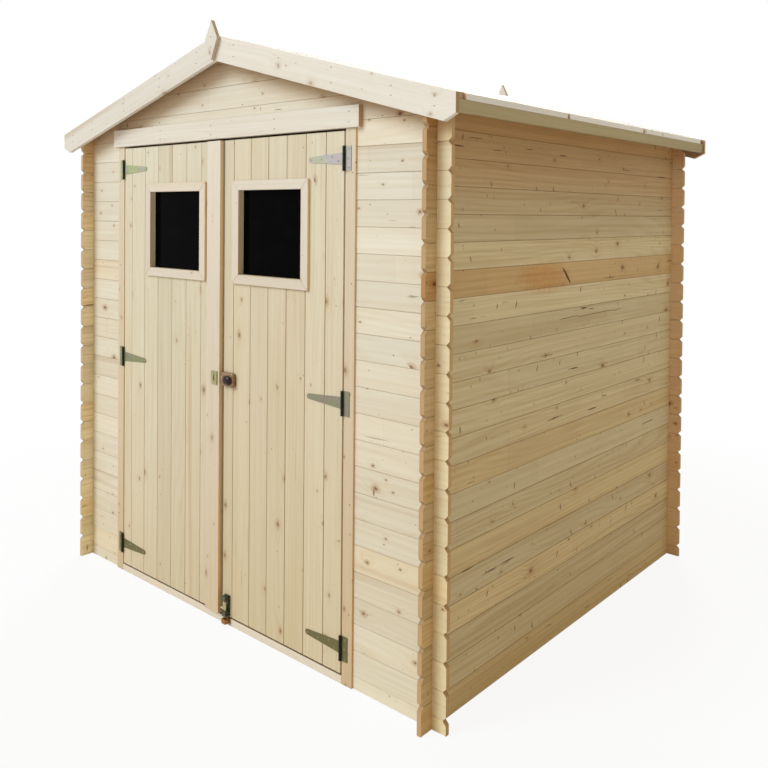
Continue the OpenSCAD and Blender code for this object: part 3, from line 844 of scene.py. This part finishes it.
def eave_laths(node):
    """The three laths on one edge of the roof share an outline, at the places the CAD gives them."""
    outline, _ = traced(node)
    timber = Timber(node + "_wood")
    for depth in spans(node, Y):
        timber.add(outline, depth, ALONG_DEPTH, THIN_ARRIS, True)
    timber.build("lath_pine", "pale_pine", "shed", node)


def roof_panel(node, side):
    """Boards laid up the slope, each a slanted plate with plumb ends."""
    outline, depth = traced(node)
    timber = Timber(node + "_boards")
    width = (depth[1] - depth[0]) / ROOF_BOARDS
    for i in range(ROOF_BOARDS):
        y0 = depth[0] + i * width
        timber.add(outline, (y0, y0 + width - HAIRLINE), up_slope(side), JOINT_CHAMFER)
    timber.build("roof_pine", "pale_pine", "shed", node)


for side_name, side in SIDES:
    eave_laths(f"{side_name}_eave_laths")
    for part in ("front", "middle", "back"):
        roof_panel(f"{side_name}_roof_{part}", side)


# ---- doors ----

def door_leaf(side_name, material):
    """Upright boards, cut round the window's hole."""
    lo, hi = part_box(f"{side_name}_door")
    w_lo, w_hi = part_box(f"{side_name}_window_frame")
    h0, h1 = w_lo.x + WINDOW_BAR, w_hi.x - WINDOW_BAR
    z0, z1 = w_lo.z + WINDOW_BAR, w_hi.z - WINDOW_BAR
    timber = Timber(f"{side_name}_door_boards")
    joints = [lo.x]
    while joints[-1] < hi.x - DOOR_BOARD:
        joints.append(joints[0] + DOOR_FIRST + (len(joints) - 1) * DOOR_BOARD)
    joints.append(hi.x)
    for x0, x1 in zip(joints, joints[1:]):
        a0, a1 = x0 + HAIRLINE / 2, x1 - HAIRLINE / 2
        if a1 <= h0 + SLIVER or a0 >= h1 - SLIVER:
            outlines = [rectangle(a0, lo.z, a1, hi.z)]
        elif a0 >= h0 - SLIVER and a1 <= h1 + SLIVER:
            outlines = [rectangle(a0, lo.z, a1, z0), rectangle(a0, z1, a1, hi.z)]
        elif a0 < h0:
            outlines = [[(a0, lo.z), (a1, lo.z), (a1, z0), (h0, z0), (h0, z1), (a1, z1), (a1, hi.z),
                         (a0, hi.z)]]
        else:
            outlines = [[(a0, lo.z), (a1, lo.z), (a1, hi.z), (a0, hi.z), (a0, z1), (h1, z1), (h1, z0),
                         (a0, z0)]]
        for outline in outlines:
            timber.add(outline, (lo.y, hi.y), ALONG_B, DOOR_CHAMFER)
    timber.build(material, "pale_pine", f"{side_name}_leaf", f"{side_name}_door")


def window_frame(node, body):
    """Four mitred mouldings."""
    lo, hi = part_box(node)
    gap = HAIRLINE / 2
    timber = Timber(node + "_mouldings")
    ix0, ix1 = lo.x + WINDOW_BAR, hi.x - WINDOW_BAR
    iz0, iz1 = lo.z + WINDOW_BAR, hi.z - WINDOW_BAR
    for grain, outline in (
        (ALONG_A, [(lo.x + gap, lo.z), (hi.x - gap, lo.z), (ix1 - gap, iz0), (ix0 + gap, iz0)]),
        (ALONG_A, [(ix0 + gap, iz1), (ix1 - gap, iz1), (hi.x - gap, hi.z), (lo.x + gap, hi.z)]),
        (ALONG_B, [(lo.x, lo.z + gap), (ix0, iz0 + gap), (ix0, iz1 - gap), (lo.x, hi.z - gap)]),
        (ALONG_B, [(ix1, iz0 + gap), (hi.x, lo.z + gap), (hi.x, hi.z - gap), (ix1, iz1 - gap)]),
    ):
        timber.add(outline, (lo.y, hi.y), grain, ARRIS, True)
    timber.build("pale_pine", "pale_pine", body, node)


def door_ledges(node, body):
    """The three ledges behind a leaf, at the heights the CAD gives them."""
    lo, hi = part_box(node)
    timber = Timber(node + "_wood")
    for b0, b1 in spans(node, Z):
        timber.add(rectangle(lo.x, b0, hi.x, b1), (lo.y, hi.y), ALONG_A, LEDGE_ARRIS, True)
    timber.build("door_pine", "pale_pine", body, node)


def window_beads(side_name, body):
    """Strips that hold a pane from inside."""
    lo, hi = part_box(f"{side_name}_window_pane")
    timber = Timber(f"{side_name}_window_beads")
    reach = BEAD / 2
    strips = [(ALONG_A, rectangle(lo.x - reach, z - reach, hi.x + reach, z + reach)) for z in (lo.z, hi.z)]
    strips += [(ALONG_B, rectangle(x - reach, lo.z + reach, x + reach, hi.z - reach)) for x in (lo.x, hi.x)]
    for grain, outline in strips:
        timber.add(outline, (lo.y + HAIRLINE, lo.y + BEAD_DEPTH), grain, ARRIS, True)
    timber.build("pale_pine", "pale_pine", body)


for side_name, material in (("left", "left_door_pine"), ("right", "door_pine")):
    leaf = side_name + "_leaf"
    door_leaf(side_name, material)
    window_frame(f"{side_name}_window_frame", leaf)
    door_ledges(f"{side_name}_door_ledges", leaf)
    window_beads(side_name, leaf)


# ---- metal and glass that keep their CAD shape ----

for material, kept in (
    ("zinc", ("left_hinge_plates", "right_hinge_plates", "left_hinge_straps", "right_hinge_straps")),
    ("yellow_zinc", ("lock_keeper", "foot_bolt")),
    ("dark_zinc", ("foot_bolt_plate",)),
    ("brass", ("bolt_keeper",)),
    ("dark_glass", ("left_window_pane", "right_window_pane")),
):
    for node in kept:
        mesh = frame["nodes"][node].data
        mesh.materials.clear()
        mesh.materials.append(materials[material])


# ---- lock, screws and nails ----

PLATE_SCREWS = ((0.009, -0.031), (0.013, 0.0), (0.009, 0.031))    # in from the edge, up from the middle
STRAP_SCREWS = ((0.011, 0.0), (0.062, 0.0), (0.112, 0.006), (0.140, -0.008))    # back from the tip, up
BARGE_NAILS = (0.10, 0.32, 0.55, 0.78, 0.93)     # shares of the way from the ridge to the eave
LINTEL_NAILS = (0.03, 0.24, 0.47, 0.72, 0.97)    # shares of its length
JAMB_NAILS = (0.24, 0.60, 0.96, 1.32, 1.68)      # heights
JAMB_NAIL_IN = 0.014                             # in from the jamb's outer edge


def mesh_piece(name, bm, material, slot, body, *nodes):
    """An object from bm, which rides on body and stands for the CAD nodes."""
    bmesh.ops.recalc_face_normals(bm, faces=bm.faces)
    mesh = bpy.data.meshes.new(name)
    bm.to_mesh(mesh)
    bm.free()
    new_piece(name, mesh, material, body, nodes)


def band(bm, low, high, smooth=False):
    """The faces between two rings of equally many points."""
    for i in range(len(low)):
        j = (i + 1) % len(low)
        bm.faces.new((low[i], low[j], high[j], high[i])).smooth = smooth


def shell(bm, rings):
    """A closed skin over rings of equally many points, with flat caps."""
    loops = [[bm.verts.new(p) for p in ring] for ring in rings]
    for low, high in zip(loops, loops[1:]):
        band(bm, low, high, True)
    bm.faces.new(list(reversed(loops[0])))
    bm.faces.new(loops[-1])


def oval(width, height, corner, steps=8):
    """A rectangle's outline with round corners, about the origin."""
    points = []
    for quarter, (sx, sz) in enumerate(((1, 1), (-1, 1), (-1, -1), (1, -1))):
        for i in range(steps + 1):
            turn = math.pi / 2 * (quarter + i / steps)
            points.append((sx * (width / 2 - corner) + corner * math.cos(turn),
                           sz * (height / 2 - corner) + corner * math.sin(turn)))
    return points


def pressed(bm, centre, outline, profile):
    """A form pressed out towards -Y. profile lists how far each ring is drawn in and how far it
    stands out from the plane of centre."""
    half_w = max(p[0] for p in outline)
    half_h = max(p[1] for p in outline)
    rings = []
    for inset, out in profile:
        kx, kz = 1 - inset / half_w, 1 - inset / half_h
        rings.append([centre + Vector((x * kx, -out, z * kz)) for x, z in outline])
    shell(bm, rings)


def lock():
    """A case with a raised rim and a collar round the spindle, and a domed oval knob."""
    lo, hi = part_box("lock_case")
    knob_lo, knob_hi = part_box("turn_knob")
    middle = (knob_lo + knob_hi) / 2
    wide, deep, tall = hi - lo
    bm = bmesh.new()
    pressed(bm, Vector(((lo.x + hi.x) / 2, hi.y, (lo.z + hi.z) / 2)), oval(wide, tall, 0.0085), (
        (0.0, 0.0), (0.0, deep - 0.0052), (0.0006, deep - 0.0032), (0.0020, deep - 0.0017),
        (0.0042, deep - 0.0010), (0.0070, deep - 0.0010), (0.0078, deep - 0.0016)))
    collar = Vector((middle.x, hi.y, middle.z))
    pressed(bm, collar, oval(0.030, 0.030, 0.0149), (
        (0.0, deep - 0.0030), (0.0, deep - 0.0008), (0.0008, deep), (0.0030, deep)))
    mesh_piece("lock_case_pressed", bm, "brown_enamel", "brown_enamel", "right_leaf", "lock_case")

    wide, tall = knob_hi.x - knob_lo.x, knob_hi.z - knob_lo.z
    gap = KNOB_GAP
    thick = lo.y - knob_lo.y - gap
    bm = bmesh.new()
    seat = Vector((middle.x, lo.y, middle.z))
    pressed(bm, seat, oval(wide, tall, tall / 2 - 0.0001, 12), (
        (0.0045, gap), (0.0012, gap + 0.0008), (0.0, gap + 0.0026), (0.0004, gap + 0.0048),
        (0.0020, gap + thick * 0.62), (0.0048, gap + thick * 0.80), (0.0085, gap + thick * 0.93),
        (0.0125, gap + thick * 0.99), (0.0155, gap + thick)))
    pressed(bm, seat, oval(0.0096, 0.0096, 0.0047), ((0.0, SPINDLE_GAP), (0.0, gap + 0.002)))
    mesh_piece("turn_knob_domed", bm, "black_plastic", "black_plastic", "lock_knob", "turn_knob")


def screw(bm, x, face, z, radius, turn):
    """A countersunk cross-head screw whose rim stands a little out of the plane y = face."""
    turns = [2 * math.pi * i / 16 for i in range(16)]
    rim = [bm.verts.new((x + radius * math.cos(a), face + 0.0003, z + radius * math.sin(a))) for a in turns]
    inner = radius * 0.86
    top = [bm.verts.new((x + inner * math.cos(a), face - 0.0009, z + inner * math.sin(a))) for a in turns]
    band(bm, rim, top, True)
    arm, half = radius * 0.58, radius * 0.16
    cross = [(arm, -half), (arm, half), (half, half), (half, arm), (-half, arm), (-half, half),
             (-arm, half), (-arm, -half), (-half, -half), (-half, -arm), (half, -arm), (half, -half)]
    c, t = math.cos(turn), math.sin(turn)
    cross = [(x + a * c - b * t, z + a * t + b * c) for a, b in cross]
    lip = [bm.verts.new((a, face - 0.0009, b)) for a, b in cross]
    pit = [bm.verts.new((a, face + 0.0002, b)) for a, b in cross]
    band(bm, lip, pit)
    bm.faces.new(pit)
    edges = [bm.edges.get((ring[i], ring[(i + 1) % len(ring)])) for ring in (top, lip)
             for i in range(len(ring))]
    bmesh.ops.triangle_fill(bm, use_beauty=True, edges=edges)
    bm.faces.new(list(reversed(rim)))


def screws(name, places, material, slot, body, radius=0.0036):
    luck = random.Random(name)
    bm = bmesh.new()
    for x, face, z in places:
        screw(bm, x, face, z, radius, luck.uniform(0, math.pi / 2))
    mesh_piece(name, bm, material, slot, body)


def hinge_heights():
    """The middles of the three hinges, from the plates' own vertices."""
    mesh = frame["nodes"]["left_hinge_plates"].data
    heights = sorted({round(v.co.z, 4) for v in mesh.vertices})
    groups = []
    for z in heights:
        if groups and z - groups[-1][-1] < 0.1:
            groups[-1].append(z)
        else:
            groups.append([z])
    return [(g[0] + g[-1]) / 2 for g in groups]


def hinge_screws():
    for side_name, side in SIDES:
        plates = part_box(f"{side_name}_hinge_plates")
        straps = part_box(f"{side_name}_hinge_straps")
        outer = plates[1].x if side > 0 else plates[0].x
        tip = straps[0].x if side > 0 else straps[1].x
        fixed, moving = [], []
        for z in hinge_heights():
            fixed += [(outer - side * inward, hinge_face, z + up) for inward, up in PLATE_SCREWS]
            moving += [(tip + side * back, hinge_face, z + up) for back, up in STRAP_SCREWS]
        screws(f"{side_name}_plate_screws", fixed, "zinc_screws", "zinc", "shed")
        screws(f"{side_name}_strap_screws", moving, "zinc_screws", "zinc", f"{side_name}_leaf")


def lock_screws():
    lo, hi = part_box("lock_case")
    face = lo.y + 0.0016
    corners = [(x, face, z) for x in (lo.x + 0.013, hi.x - 0.012) for z in (lo.z + 0.012, hi.z - 0.012)]
    screws("lock_case_screws", corners, "yellow_zinc", "zinc", "right_leaf", 0.0030)
    lo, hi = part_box("lock_keeper")
    middle = (lo.x + hi.x) / 2
    screws("lock_keeper_screws", [(middle, lo.y, z) for z in (lo.z + 0.006, hi.z - 0.006)],
           "yellow_zinc", "zinc", "left_leaf", 0.0030)
    lo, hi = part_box("foot_bolt_plate")
    sides = (lo.x + 0.0036, hi.x - 0.0036)
    face = hi.y - PLATE
    ends = [(x, face, z) for x in sides for z in (lo.z + 0.010, hi.z - 0.010)]
    screws("foot_bolt_screws", ends, "yellow_zinc", "zinc", "right_leaf", 0.0024)
    lo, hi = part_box("bolt_keeper")
    middle = (lo.z + hi.z) / 2
    screws("bolt_keeper_screws", [(x, hi.y - PLATE, middle) for x in (lo.x + 0.0034, hi.x - 0.0034)],
           "brass", "brass", "shed", 0.0024)


def nail(bm, centre, outward, radius=0.0021):
    """A flat nail head lying on a face whose outward direction is given."""
    side = outward.orthogonal().normalized()
    other = outward.cross(side)
    rings = []
    for scale, out in ((1.0, -0.0003), (1.0, 0.0002), (0.8, 0.0005)):
        rings.append([centre + outward * out + (side * math.cos(a) + other * math.sin(a)) * radius * scale
                      for a in (2 * math.pi * i / 10 for i in range(10))])
    shell(bm, rings)


def trim_nails():
    """Nails through the bargeboards, finials, lintel and jambs."""
    bm = bmesh.new()
    for end, out in (("front", -1), ("back", 1)):
        outward = Vector((0, out, 0))
        for side_name, side in SIDES:
            lo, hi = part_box(f"{end}_{side_name}_bargeboard")
            eave = hi.x if side > 0 else -lo.x
            for share in BARGE_NAILS:
                x = share * eave
                for down in (0.022, 0.062):
                    z = hi.z - x * SLOPE - down - 0.006 * math.sin(40 * share + down * 90)
                    nail(bm, Vector((side * x, lo.y if out < 0 else hi.y, z)), outward)
        lo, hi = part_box(f"{end}_finial")
        for down in (0.062, 0.098):
            nail(bm, Vector((0.0, lo.y if out < 0 else hi.y, hi.z - down)), outward)
    lo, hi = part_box("lintel_board")
    for share in LINTEL_NAILS:
        for z in (lo.z + 0.018, hi.z - 0.020):
            nail(bm, Vector((lo.x + share * (hi.x - lo.x), lo.y, z)), Vector((0, -1, 0)))
    for x in (jamb_l[0].x + JAMB_NAIL_IN, jamb_r[1].x - JAMB_NAIL_IN):
        for z in JAMB_NAILS:
            nail(bm, Vector((x, jamb_l[0].y, z)), Vector((0, -1, 0)))
    mesh_piece("trim_nails", bm, "dark_zinc", "zinc", "shed")


lock()
hinge_screws()
lock_screws()
trim_nails()


# ---- floor, light and camera ----

def seen_white(tree):
    """1 for the rays that see the surroundings as white: straight, off gloss or through glass."""
    rays = add_node(tree, "ShaderNodeLightPath").outputs
    seen = Value(rays["Is Camera Ray"]).most(Value(rays["Is Glossy Ray"]))
    return seen.most(Value(rays["Is Transmission Ray"]))


def floor():
    """A pale ground that the camera sees as white, with a soft shadow left in it. Inside the shed
    it is only as bright as the light that reaches it."""
    mesh = bpy.data.meshes.new("floor")
    mesh.from_pydata([(x, y, 0) for x, y in rectangle(-60.0, -60.0, 60.0, 60.0)], [], [(0, 1, 2, 3)])
    plane = bpy.data.objects.new("floor", mesh)
    bpy.context.scene.collection.objects.link(plane)
    plane.location.z = -0.0005
    material = bpy.data.materials.new("floor")
    tree = cleared(material)
    ground = value(tree, "ShaderNodeBsdfDiffuse", {"Color": (0.82, 0.81, 0.79, 1.0)})
    white = value(tree, "ShaderNodeEmission", {"Color": (1, 1, 1, 1), "Strength": 1.0})
    here = place(tree)
    x, y, _ = split(here)
    away = value(tree, "ShaderNodeVectorMath", {0: here}, "Value", operation="LENGTH")
    outside = ramp((abs(x) - right_hi.x).most(abs(y) - back_hi.y), -0.012, -0.006)
    share = seen_white(tree) * (ramp(away, 1.5, 3.6, 0.90, 1.0) * outside)
    shown = value(tree, "ShaderNodeMixShader", {0: share, 1: ground, 2: white})
    add_node(tree, "ShaderNodeOutputMaterial", {0: shown})
    mesh.materials.append(material)


def world():
    """White where it is seen, and an even warm light on the object."""
    bpy.context.scene.world = bpy.data.worlds.new("world")
    tree = cleared(bpy.context.scene.world)
    fill = value(tree, "ShaderNodeBackground", {"Color": (1.0, 0.82, 0.58, 1.0), "Strength": 0.48})
    white = value(tree, "ShaderNodeBackground", {"Color": (1, 1, 1, 1), "Strength": 1.0})
    shown = value(tree, "ShaderNodeMixShader", {0: seen_white(tree), 1: fill, 2: white})
    add_node(tree, "ShaderNodeOutputWorld", {0: shown})


def sun(name, azimuth, elevation, strength, softness, colour):
    """A broad, far lamp. Azimuth 0 shines from the front, and 90 from the right."""
    lamp = bpy.data.lights.new(name, "SUN")
    lamp.energy = strength
    lamp.angle = math.radians(softness)
    lamp.color = colour
    holder = bpy.data.objects.new(name, lamp)
    bpy.context.scene.collection.objects.link(holder)
    turn, lift = math.radians(azimuth), math.radians(elevation)
    source = Vector((math.sin(turn) * math.cos(lift), -math.cos(turn) * math.cos(lift), math.sin(lift)))
    holder.rotation_euler = source.to_track_quat("Z", "Y").to_euler()


def camera():
    """The photograph's viewpoint, nearly level past the shed's front right corner."""
    data = bpy.data.cameras.new("camera")
    data.sensor_width = 36.0
    data.lens = CAMERA_LENS
    data.shift_y = CAMERA_SHIFT
    holder = bpy.data.objects.new("camera", data)
    bpy.context.scene.collection.objects.link(holder)
    yaw, pitch, roll = (math.radians(a) for a in (CAMERA_YAW, CAMERA_PITCH, CAMERA_ROLL))
    level = Vector((-math.sin(yaw), math.cos(yaw), 0.0))
    right = Vector((math.cos(yaw), math.sin(yaw), 0.0))
    forward = level * math.cos(pitch) + Vector((0, 0, math.sin(pitch)))
    up = right.cross(forward)
    side = right * math.cos(roll) + up * math.sin(roll)
    top = up * math.cos(roll) - right * math.sin(roll)
    turn = Matrix((side, top, -forward)).transposed().to_4x4()
    holder.matrix_world = Matrix.Translation(CAMERA_PLACE) @ turn
    bpy.context.scene.camera = holder


floor()
world()
sun("key", -27.0, 33.0, 2.5, 34.0, (0.71, 0.825, 1.0))
sun("back_fill", -150.0, 30.0, 2.0, 30.0, (0.80, 0.88, 1.0))
camera()
bpy.context.scene.view_settings.view_transform = "Standard"
